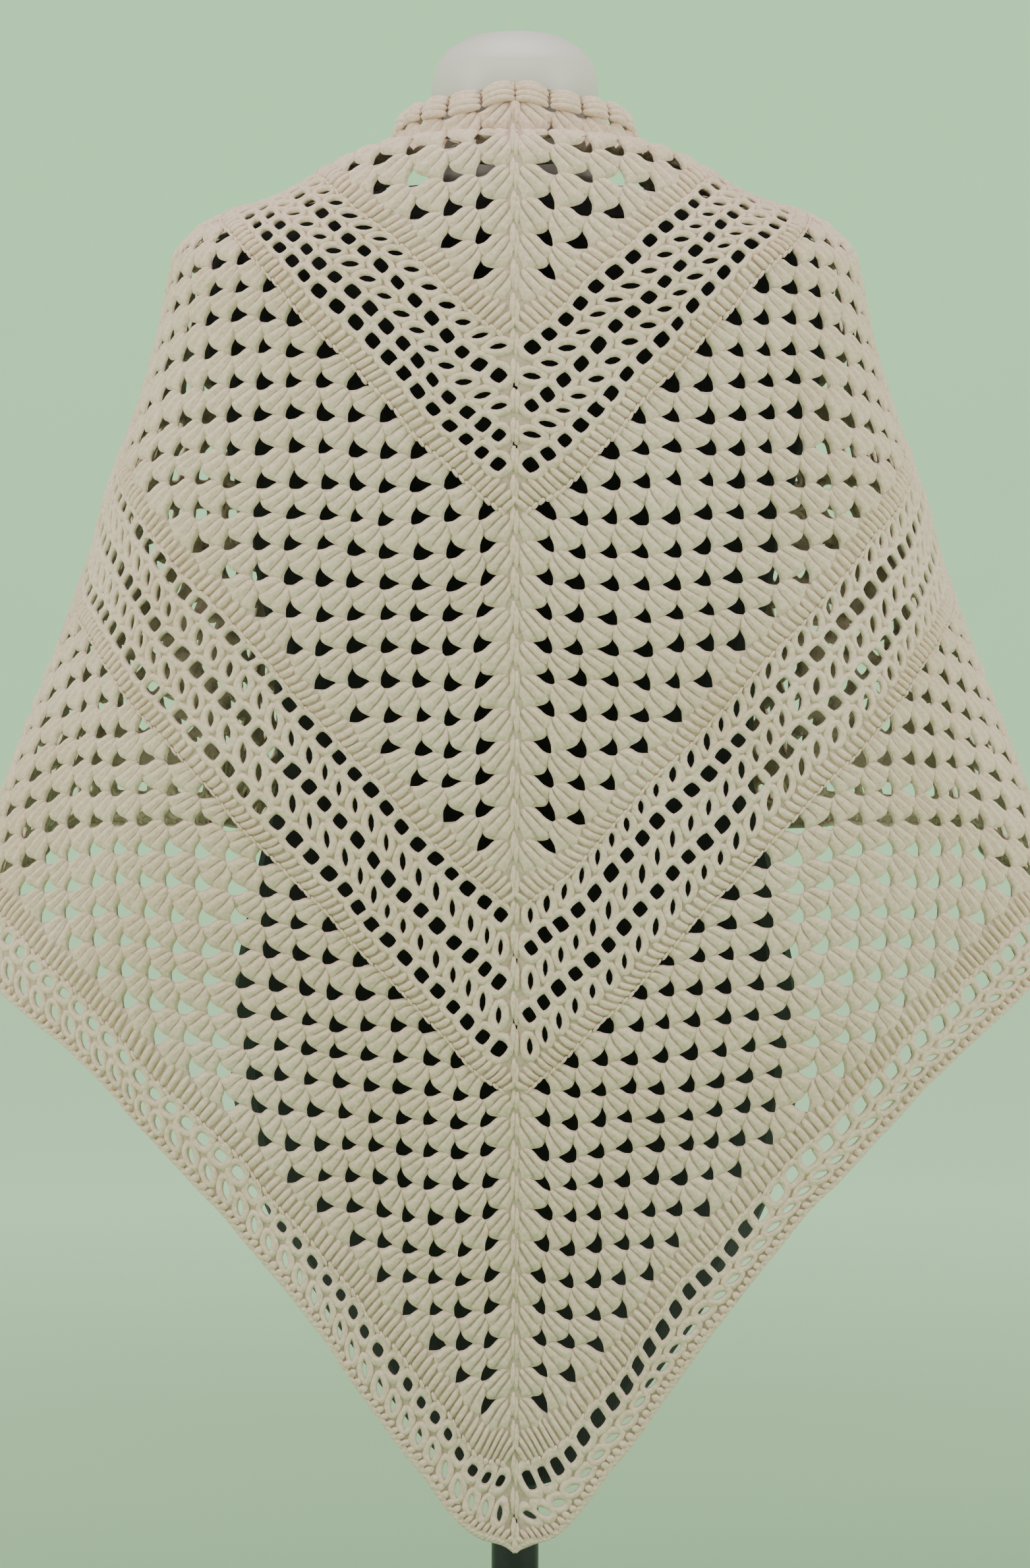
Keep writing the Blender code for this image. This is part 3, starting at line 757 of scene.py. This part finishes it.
class Core:
    """The closed thin sheet under the stitches, with every gap cut through."""

    HALF = 0.0010

    def __init__(self):
        self.keys = {}
        self.flat = []
        self.tris = []

    def corner(self, side, w, c):
        """The number of a corner, shared by both halves on the spine."""
        u = w + c
        key = (round(w, 3), round(c, 3), 0 if u < 1e-6 else side)
        if key not in self.keys:
            self.keys[key] = len(self.flat)
            self.flat.append((side, w, c))
        return self.keys[key]

    def triangle(self, side, first, second, third):
        """A triangle that faces outwards, whichever way its corners are named."""
        ids = [self.corner(side, *p) for p in (first, second, third)]
        if len(set(ids)) < 3:
            return
        turn = (second[0] - first[0]) * (third[1] - first[1])
        turn -= (third[0] - first[0]) * (second[1] - first[1])
        if turn * side > 0.0:
            ids.reverse()
        self.tris.append(ids)

    def zipper(self, side, upper, lower):
        """Triangles between two chains of places that run the same way."""
        i = 0
        j = 0
        while i < len(upper) - 1 or j < len(lower) - 1:
            step = i < len(upper) - 1
            if step and j < len(lower) - 1:
                step = upper[i][1] + upper[i + 1][1] <= lower[j][1] + lower[j + 1][1]
            if step:
                self.triangle(side, upper[i], upper[i + 1], lower[j])
                i += 1
            else:
                self.triangle(side, upper[i], lower[j + 1], lower[j])
                j += 1

    def ring(self, side, outside, hole, middle):
        """Triangles between a cell's outline and its gap, both closed, by their bearing.

        Known fault: in tight cells some triangles are turned over.
        """
        def bearing(p):
            return math.atan2(p[0] - middle[0], p[1] - middle[1])

        outside = sorted(outside, key=bearing)
        hole = sorted(hole, key=bearing)
        a = [bearing(p) for p in outside]
        b = [bearing(p) for p in hole]
        i = 0
        j = 0
        while i < len(a) or j < len(b):
            next_a = a[(i + 1) % len(a)] + (2.0 * math.pi if i + 1 >= len(a) else 0.0)
            next_b = b[(j + 1) % len(b)] + (2.0 * math.pi if j + 1 >= len(b) else 0.0)
            if j >= len(b) or (i < len(a) and next_a <= next_b):
                self.triangle(side, outside[i % len(a)], outside[(i + 1) % len(a)],
                              hole[j % len(b)])
                i += 1
            else:
                self.triangle(side, outside[i % len(a)], hole[(j + 1) % len(b)],
                              hole[j % len(b)])
                j += 1

    def finish(self, name, material, slot):
        """Both skins and the walls along every edge that no other triangle shares."""
        flat = np.array(self.flat, float)
        tris = np.array(self.tris)
        outer = place(flat[:, 0], flat[:, 1], flat[:, 2], np.full(len(flat), self.HALF))
        inner = place(flat[:, 0], flat[:, 1], flat[:, 2], np.full(len(flat), -self.HALF))
        edges = np.concatenate([tris[:, [0, 1]], tris[:, [1, 2]], tris[:, [2, 0]]])
        size = len(flat)
        code = edges[:, 0] * size + edges[:, 1]
        back = edges[:, 1] * size + edges[:, 0]
        rim = edges[~np.isin(code, back)]
        walls = np.stack([rim[:, 1], rim[:, 0], rim[:, 0] + size, rim[:, 1] + size], axis=-1)
        faces = np.concatenate([tris, tris[:, ::-1] + size])
        obj = mesh_object(name, np.concatenate([outer, inner]), walls, faces, None,
                          material)
        print(name, len(walls) * 2 + len(faces), "triangles")
        return obj


def lattice(row, word):
    """Places where the core's corners lie along the line above a row."""
    if row == 0:
        return [0.0]
    offset = 0.5 if word in ("granny", "solid") else 0.0
    lines = [k + offset for k in range(-row, row + 1)]
    return [-float(row)] + [k for k in lines if abs(k) < row - 0.01] + [float(row)]


def core_rows(core, side):
    """One half of the core: rows with cells round their gaps, and plain strips."""
    for row in range(BODY_ROWS):
        word = STITCH[row]
        above = "granny" if row == 0 else STITCH[row - 1]
        below = STITCH.get(row + 1, word)
        open_word = word in ("mesh", "small")
        top_word = word if open_word or above not in ("mesh", "small") else above
        low_word = word if open_word or below not in ("mesh", "small") else below
        top = [(float(row), c) for c in lattice(row, top_word)]
        low = [(float(row + 1), c) for c in lattice(row + 1, low_word)]
        off = SPINE_CORNER_SOLID if word == "solid" else SPINE_CORNER_OPEN
        spine = (row + 0.5, -row - 0.5 + off)
        centres = gap_places(row)
        half = 1.0 if word == "granny" else 0.5
        if len(centres) == 0:
            if row > 0:
                core.triangle(side, top[0], spine, low[0])
                core.triangle(side, spine, low[1], low[0])
                core.triangle(side, top[0], top[1], spine)
                core.triangle(side, top[1], low[1], spine)
                core.zipper(side, top[1:], low[1:])
            else:
                core.zipper(side, top, low)
            continue
        first = centres[0] - half
        last = min(centres[-1] + half, float(row))
        left_top = [p for p in top if p[1] <= first + 1e-6]
        left_low = [p for p in low if p[1] <= first + 1e-6]
        chain = left_top + left_low[::-1]
        for near, far in zip(chain, chain[1:]):
            core.triangle(side, spine, near, far)
        if word == "granny" or row % 2:
            core.triangle(side, spine, low[0], top[0])
        right_top = [p for p in top if p[1] >= last - 1e-6]
        right_low = [p for p in low if p[1] >= centres[-1] + half - 1e-6]
        core.zipper(side, right_top, right_low)
        if word == "granny":
            hole_shape = GRANNY_GAP
            if STITCH.get(row - 1) == "solid":
                hole_shape = [(dw * FIRST_GAP_TALLER, dc * FIRST_GAP_WIDER)
                              for dw, dc in GRANNY_GAP]
        else:
            dw, dc = gap_outline(gap_shape(row, side), MESH_POINTS, CORE_SPREAD)
            hole_shape = list(zip(dw, dc))
        for centre in centres:
            lo = centre - half - 1e-6
            hi = centre + half + 1e-6
            outline = [p for p in top if lo <= p[1] <= hi] + [p for p in low if lo <= p[1] <= hi]
            hole = [(row + 0.5 + dw, centre + dc) for dw, dc in hole_shape]
            core.ring(side, outline, hole, (row + 0.5, centre))
    top = [(float(BODY_ROWS), c) for c in lattice(BODY_ROWS, "mesh")]
    low = [(HEM_ROWS - 0.1, c) for c in lattice(BODY_ROWS, "mesh")[1:-1]]
    low = [(HEM_ROWS - 0.1, -HEM_ROWS + 0.1)] + low + [(HEM_ROWS - 0.1, HEM_ROWS - 0.1)]
    core.zipper(side, top, low)


# Materials


def new_material(name):
    """A material, its node tree, its shader and its texture coordinates."""
    material = bpy.data.materials.new(name)
    material.use_nodes = True
    tree = material.node_tree
    coords = tree.nodes.new("ShaderNodeTexCoord")
    return material, tree, tree.nodes["Principled BSDF"], coords


def noise(tree, source, scale, detail=2.0, rough=0.5):
    """A noise texture."""
    node = tree.nodes.new("ShaderNodeTexNoise")
    node.inputs["Scale"].default_value = scale
    node.inputs["Detail"].default_value = detail
    node.inputs["Roughness"].default_value = rough
    tree.links.new(source, node.inputs["Vector"])
    return node.outputs["Fac"]


def ramp(tree, source, stops):
    """A colour ramp: places and colours."""
    node = tree.nodes.new("ShaderNodeValToRGB")
    elements = node.color_ramp.elements
    while len(elements) < len(stops):
        elements.new(0.5)
    for element, (at, colour) in zip(elements, stops):
        element.position = at
        element.color = (*colour, 1.0)
    tree.links.new(source, node.inputs["Fac"])
    return node.outputs["Color"]


def mix_colour(tree, factor, first, second, mode="MIX"):
    """A mix of two colours, each a value or a socket."""
    node = tree.nodes.new("ShaderNodeMix")
    node.data_type = "RGBA"
    node.blend_type = mode
    for socket, value in ((0, factor), (6, first), (7, second)):
        if isinstance(value, (float, int)):
            node.inputs[socket].default_value = value
        elif isinstance(value, tuple):
            node.inputs[socket].default_value = (*value, 1.0)
        else:
            tree.links.new(value, node.inputs[socket])
    return node.outputs[2]


def bump(tree, height, strength, distance, under=None):
    """A bump, on top of another one where that is given."""
    node = tree.nodes.new("ShaderNodeBump")
    node.inputs["Strength"].default_value = strength
    node.inputs["Distance"].default_value = distance
    tree.links.new(height, node.inputs["Height"])
    if under is not None:
        tree.links.new(under, node.inputs["Normal"])
    return node.outputs["Normal"]


def maths(tree, what, first, second=None):
    """One sum, each term a value or a socket."""
    node = tree.nodes.new("ShaderNodeMath")
    node.operation = what
    for socket, value in ((0, first), (1, second)):
        if value is None:
            continue
        if isinstance(value, (float, int)):
            node.inputs[socket].default_value = value
        else:
            tree.links.new(value, node.inputs[socket])
    return node.outputs[0]


# Colours of the yarn, the last one towards the tip.
YARN_CREAM = (0.78, 0.575, 0.455)
YARN_LIGHT = (0.845, 0.64, 0.53)
YARN_ROSY = (0.81, 0.60, 0.515)


def yarn_material(name, shade, plied):
    """Soft cream yarn with fuzz, pits and uneven colour, and plies where they show; a shade below
    1 darkens every colour as painted shade.
    """
    material, tree, shader, coords = new_material(name)
    place_out = coords.outputs["Object"]
    # shade scales all three colours; below 1 it is painted shade.
    cream, light, rosy = (tuple(x * shade for x in colour)
                          for colour in (YARN_CREAM, YARN_LIGHT, YARN_ROSY))
    patches = ramp(tree, noise(tree, place_out, 9.0, 3.0),
                   ((0.35, (0.0, 0.0, 0.0)), (0.65, (1.0, 1.0, 1.0))))
    colour = mix_colour(tree, patches, cream, light)
    split = tree.nodes.new("ShaderNodeSeparateXYZ")
    tree.links.new(place_out, split.inputs["Vector"])
    low = maths(tree, "SUBTRACT", 0.42, split.outputs["Z"])
    low = maths(tree, "MULTIPLY", low, 2.2)
    low = maths(tree, "MINIMUM", maths(tree, "MAXIMUM", low, 0.0), 0.6)
    colour = mix_colour(tree, low, colour, rosy)
    grain = ramp(tree, noise(tree, place_out, 420.0, 3.0, 0.6),
                 ((0.30, (0.80, 0.79, 0.77)), (0.62, (1.0, 1.0, 1.0))))
    colour = mix_colour(tree, 1.0, colour, grain, "MULTIPLY")
    tree.links.new(colour, shader.inputs["Base Color"])
    fuzz = bump(tree, noise(tree, place_out, 900.0, 4.0, 0.65), 0.35, 0.0006)
    soft = bump(tree, noise(tree, place_out, 260.0, 2.0), 0.6, 0.0014, fuzz)
    cells = tree.nodes.new("ShaderNodeTexVoronoi")
    cells.feature = "SMOOTH_F1"
    cells.inputs["Scale"].default_value = 230.0
    tree.links.new(place_out, cells.inputs["Vector"])
    soft = bump(tree, cells.outputs["Distance"], 0.5, 0.0016, soft)
    if plied:
        uv = tree.nodes.new("ShaderNodeSeparateXYZ")
        tree.links.new(coords.outputs["UV"], uv.inputs["Vector"])
        turns = maths(tree, "MULTIPLY", uv.outputs["Y"], 3.0)
        twist = maths(tree, "ADD", turns, maths(tree, "MULTIPLY", uv.outputs["X"], 0.24))
        wave = maths(tree, "SINE", maths(tree, "MULTIPLY", twist, 2.0 * math.pi))
        soft = bump(tree, wave, 0.30, 0.0007, soft)
    tree.links.new(soft, shader.inputs["Normal"])
    shader.inputs["Roughness"].default_value = 0.92
    shader.inputs["Sheen Weight"].default_value = 0.22
    shader.inputs["Sheen Roughness"].default_value = 0.5
    shader.inputs["Specular IOR Level"].default_value = 0.2
    return material


def neck_cover(material):
    """The domed neck, turned smoothly through the solid's profile."""
    even = np.linspace(NECK_PROFILE[0, 0], NECK_PROFILE[-1, 0], 15)[:-1]
    halfway = 0.5 * (NECK_PROFILE[3:-1, 0] + NECK_PROFILE[4:, 0])
    heights = np.unique(np.concatenate([even, NECK_PROFILE[-4:, 0], halfway]))
    radii = np.interp(heights, NECK_PROFILE[:, 0], NECK_PROFILE[:, 1])
    turn = 2.0 * math.pi * np.arange(NECK_SIDES) / NECK_SIDES
    x = radii[:, None] * np.cos(turn)
    y = radii[:, None] * np.sin(turn)
    z = np.broadcast_to(heights[:, None] + TIP_HEIGHT, x.shape)
    points = np.stack([x, y, z], axis=-1).reshape(-1, 3)
    ends = np.array([[0.0, 0.0, heights[0] + TIP_HEIGHT], [0.0, 0.0, heights[-1] + TIP_HEIGHT]])
    quads, tris = tube_faces(len(heights), NECK_SIDES)
    points = np.concatenate([points, ends])
    return mesh_object("neck_cover", points, quads, tris, None, material)


def jersey_material():
    """Black stretch jersey with fine ribs."""
    material, tree, shader, coords = new_material("black_jersey")
    source = coords.outputs["Object"]
    shade = ramp(tree, noise(tree, source, 14.0, 3.0),
                 ((0.3, (0.006, 0.0055, 0.006)), (0.7, (0.011, 0.010, 0.011))))
    tree.links.new(shade, shader.inputs["Base Color"])
    wave = tree.nodes.new("ShaderNodeTexWave")
    wave.inputs["Scale"].default_value = 160.0
    wave.inputs["Distortion"].default_value = 0.6
    tree.links.new(source, wave.inputs["Vector"])
    ribs = bump(tree, wave.outputs["Fac"], 0.25, 0.0004)
    knit = bump(tree, noise(tree, source, 900.0, 2.0), 0.3, 0.0003, ribs)
    tree.links.new(knit, shader.inputs["Normal"])
    shader.inputs["Roughness"].default_value = 0.9
    shader.inputs["Sheen Weight"].default_value = 0.05
    return material


def neck_material():
    """Pinkish white satin cover over the neck."""
    material, tree, shader, coords = new_material("neck_satin")
    source = coords.outputs["Object"]
    shade = ramp(tree, noise(tree, source, 11.0, 2.0),
                 ((0.3, (0.60, 0.545, 0.52)), (0.7, (0.66, 0.60, 0.575))))
    tree.links.new(shade, shader.inputs["Base Color"])
    fine = bump(tree, noise(tree, source, 700.0, 2.0), 0.12, 0.0002)
    wrinkle = bump(tree, noise(tree, source, 26.0, 2.0), 0.12, 0.002, fine)
    tree.links.new(wrinkle, shader.inputs["Normal"])
    shader.inputs["Roughness"].default_value = 0.42
    shader.inputs["Sheen Weight"].default_value = 0.1
    return material


def stand_material():
    """Satin black painted metal with fine wear."""
    material, tree, shader, coords = new_material("stand_paint")
    source = coords.outputs["Object"]
    shade = ramp(tree, noise(tree, source, 30.0, 4.0),
                 ((0.35, (0.028, 0.028, 0.031)), (0.75, (0.045, 0.045, 0.05))))
    tree.links.new(shade, shader.inputs["Base Color"])
    gloss = ramp(tree, noise(tree, source, 60.0, 3.0),
                 ((0.3, (0.30, 0.30, 0.30)), (0.7, (0.42, 0.42, 0.42))))
    tree.links.new(gloss, shader.inputs["Roughness"])
    peel = bump(tree, noise(tree, source, 350.0, 2.0), 0.15, 0.0003)
    tree.links.new(peel, shader.inputs["Normal"])
    shader.inputs["Metallic"].default_value = 0.6
    return material


def backdrop_material():
    """Plain pale green paper, lit softly from within towards the wall."""
    material, tree, shader, coords = new_material("pale_backdrop")
    source = coords.outputs["Object"]
    shade = ramp(tree, noise(tree, source, 3.0),
                 ((0.3, (0.408, 0.652, 0.404)), (0.7, (0.414, 0.66, 0.41))))
    tree.links.new(shade, shader.inputs["Base Color"])
    length = tree.nodes.new("ShaderNodeVectorMath")
    length.operation = "LENGTH"
    tree.links.new(source, length.inputs[0])
    glow = tree.nodes.new("ShaderNodeMapRange")
    glow.interpolation_type = "SMOOTHSTEP"
    glow.inputs["From Min"].default_value = 0.5
    glow.inputs["From Max"].default_value = 3.0
    glow.inputs["To Max"].default_value = 0.86
    tree.links.new(length.outputs["Value"], glow.inputs["Value"])
    tree.links.new(shade, shader.inputs["Emission Color"])
    tree.links.new(glow.outputs["Result"], shader.inputs["Emission Strength"])
    shader.inputs["Roughness"].default_value = 0.95
    shader.inputs["Specular IOR Level"].default_value = 0.1
    return material


# The cloth

yarn_mat = yarn_material("cream_yarn", 1.0, False)
# The core's colour is darkened to 0.72: painted shade for the shadow deep in the grooves between
# the stitches.
core_mat = yarn_material("cream_yarn_painted_shade", 0.72, False)
edging_mat = yarn_material("cream_edging", 1.0, True)

core = Core()
for side in (-1, 1):
    core_rows(core, side)
core_piece = core.finish("shawl_core", core_mat, "yarn")
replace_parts(core_piece, "shawl_left", "shawl_right")

for name, first, end in (("clusters_top", 0, 10), ("clusters_middle", 17, 28)):
    yarn = Yarn()
    for side in (-1, 1):
        for row in range(first, end):
            granny_row(yarn, side, row)
    yarn.finish(name, yarn_mat, "yarn")
for side, word in ((-1, "left"), (1, "right")):
    yarn = Yarn()
    for row in range(35, 46):
        granny_row(yarn, side, row)
    yarn.finish("clusters_low_" + word, yarn_mat, "yarn")
yarn = Yarn()
for side in (-1, 1):
    for row in (10, 16, 28, 34, 46):
        solid_row(yarn, side, row)
spine_stitches(yarn)
yarn.finish("solid_rows", yarn_mat, "yarn")
for side, word in ((-1, "left"), (1, "right")):
    yarn = Yarn()
    for row in MESH_GAPS:
        mesh_row(yarn, side, row)
    yarn.finish("mesh_rows_" + word, yarn_mat, "yarn")
yarn = Yarn()
for side in (-1, 1):
    edge_bumps(yarn, side)
yarn.finish("top_edge", yarn_mat, "yarn")
yarn = Yarn()
for side in (-1, 1):
    hem_border(yarn, side)
border = yarn.finish("hem_border", edging_mat, "edging")
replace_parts(border, "hem_edging_left", "hem_edging_right")

# The form

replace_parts(neck_cover(neck_material()), "form_neck")
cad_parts["form_body"].data.materials.clear()
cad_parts["form_body"].data.materials.append(jersey_material())
metal = stand_material()
for node in ("stand_pole", "stand_base"):
    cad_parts[node].data.materials.clear()
    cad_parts[node].data.materials.append(metal)

# Floor, backdrop, light and camera

# The stage: rings of its floor, its curve up into the wall, the wall's top, and its sides.
STAGE_RINGS = (3.0, 6.0)
STAGE_RADIUS = 11.0
STAGE_CURVE = 2.0
STAGE_HEIGHT = 5.0
STAGE_SIDES = 96
STAGE_STEPS = 12

# Soft lights: name, place, aim, size, power and colour.
LIGHTS = (
    ("key_left", (-2.3, -1.2, 1.7), (0.0, 0.0, 0.6), (1.2, 1.6), 48.0, (1.0, 0.96, 0.90)),
    ("key_right", (2.4, -1.1, 1.5), (0.0, 0.0, 0.6), (1.2, 1.6), 43.0, (1.0, 0.965, 0.91)),
    ("top", (0.0, -0.3, 2.6), (0.0, 0.0, 0.8), (1.6, 1.6), 28.0, (1.0, 0.98, 0.96)),
)


def backdrop():
    """A pale round floor that curves up into a low wall all round, far from the object."""
    profile = [(radius, 0.0) for radius in (*STAGE_RINGS, STAGE_RADIUS)]
    for k in range(1, STAGE_STEPS + 1):
        angle = 0.5 * math.pi * k / STAGE_STEPS
        profile.append((STAGE_RADIUS + STAGE_CURVE * math.sin(angle),
                        STAGE_CURVE * (1.0 - math.cos(angle))))
    profile.append((STAGE_RADIUS + STAGE_CURVE, STAGE_HEIGHT))
    points = [(0.0, 0.0, 0.0)]
    for radius, height in profile:
        for k in range(STAGE_SIDES):
            turn = 2.0 * math.pi * k / STAGE_SIDES
            points.append((radius * math.cos(turn), radius * math.sin(turn), height))
    faces = [(0, 1 + k, 1 + (k + 1) % STAGE_SIDES) for k in range(STAGE_SIDES)]
    for ring in range(len(profile) - 1):
        low = 1 + ring * STAGE_SIDES
        for k in range(STAGE_SIDES):
            n = (k + 1) % STAGE_SIDES
            faces.append((low + k, low + STAGE_SIDES + k, low + STAGE_SIDES + n, low + n))
    data = bpy.data.meshes.new("backdrop")
    data.from_pydata(points, [], faces)
    data.shade_smooth()
    data.materials.append(backdrop_material())
    obj = bpy.data.objects.new("backdrop", data)
    bpy.context.scene.collection.objects.link(obj)


def soft_light(name, place_at, aim, size, power, colour):
    """A rectangular light turned towards its aim."""
    data = bpy.data.lights.new(name, "AREA")
    data.shape = "RECTANGLE"
    data.size = size[0]
    data.size_y = size[1]
    data.energy = power
    data.color = colour
    obj = bpy.data.objects.new(name, data)
    obj.location = place_at
    obj.rotation_euler = (Vector(aim) - Vector(place_at)).to_track_quat("-Z", "Y").to_euler()
    bpy.context.scene.collection.objects.link(obj)


backdrop()
for light in LIGHTS:
    soft_light(*light)

world = bpy.data.worlds.new("studio")
bpy.context.scene.world = world
world.use_nodes = True
background = world.node_tree.nodes["Background"]
background.inputs["Color"].default_value = (1.0, 0.97, 0.92, 1.0)
background.inputs["Strength"].default_value = 0.40

# The photograph is 1563 by 2380 pixels, 0.424 mm a pixel at the back of the shawl. The
# shawl's tip is on its pixel row 2368.
PIXEL = 0.000424
PHOTO_ROWS = 2380
TIP_PIXEL = 2368
SENSOR = 36.0
TALL = PHOTO_ROWS * PIXEL
BACK_PLANE = -0.175
DISTANCE = 3.40
CAMERA_HEIGHT = 0.73
MIDDLE = TIP_HEIGHT + (TIP_PIXEL - PHOTO_ROWS // 2) * PIXEL

camera_data = bpy.data.cameras.new("camera")
camera_data.sensor_fit = "VERTICAL"
camera_data.sensor_height = SENSOR
away = math.hypot(DISTANCE, CAMERA_HEIGHT - MIDDLE)
camera_data.lens = SENSOR * away / TALL
camera_data.clip_start = 0.05
camera_data.clip_end = 50.0
camera = bpy.data.objects.new("camera", camera_data)
camera.location = (0.0, BACK_PLANE - DISTANCE, CAMERA_HEIGHT)
aim = Vector((0.0, BACK_PLANE, MIDDLE)) - camera.location
camera.rotation_euler = aim.to_track_quat("-Z", "Y").to_euler()
bpy.context.scene.collection.objects.link(camera)
bpy.context.scene.camera = camera
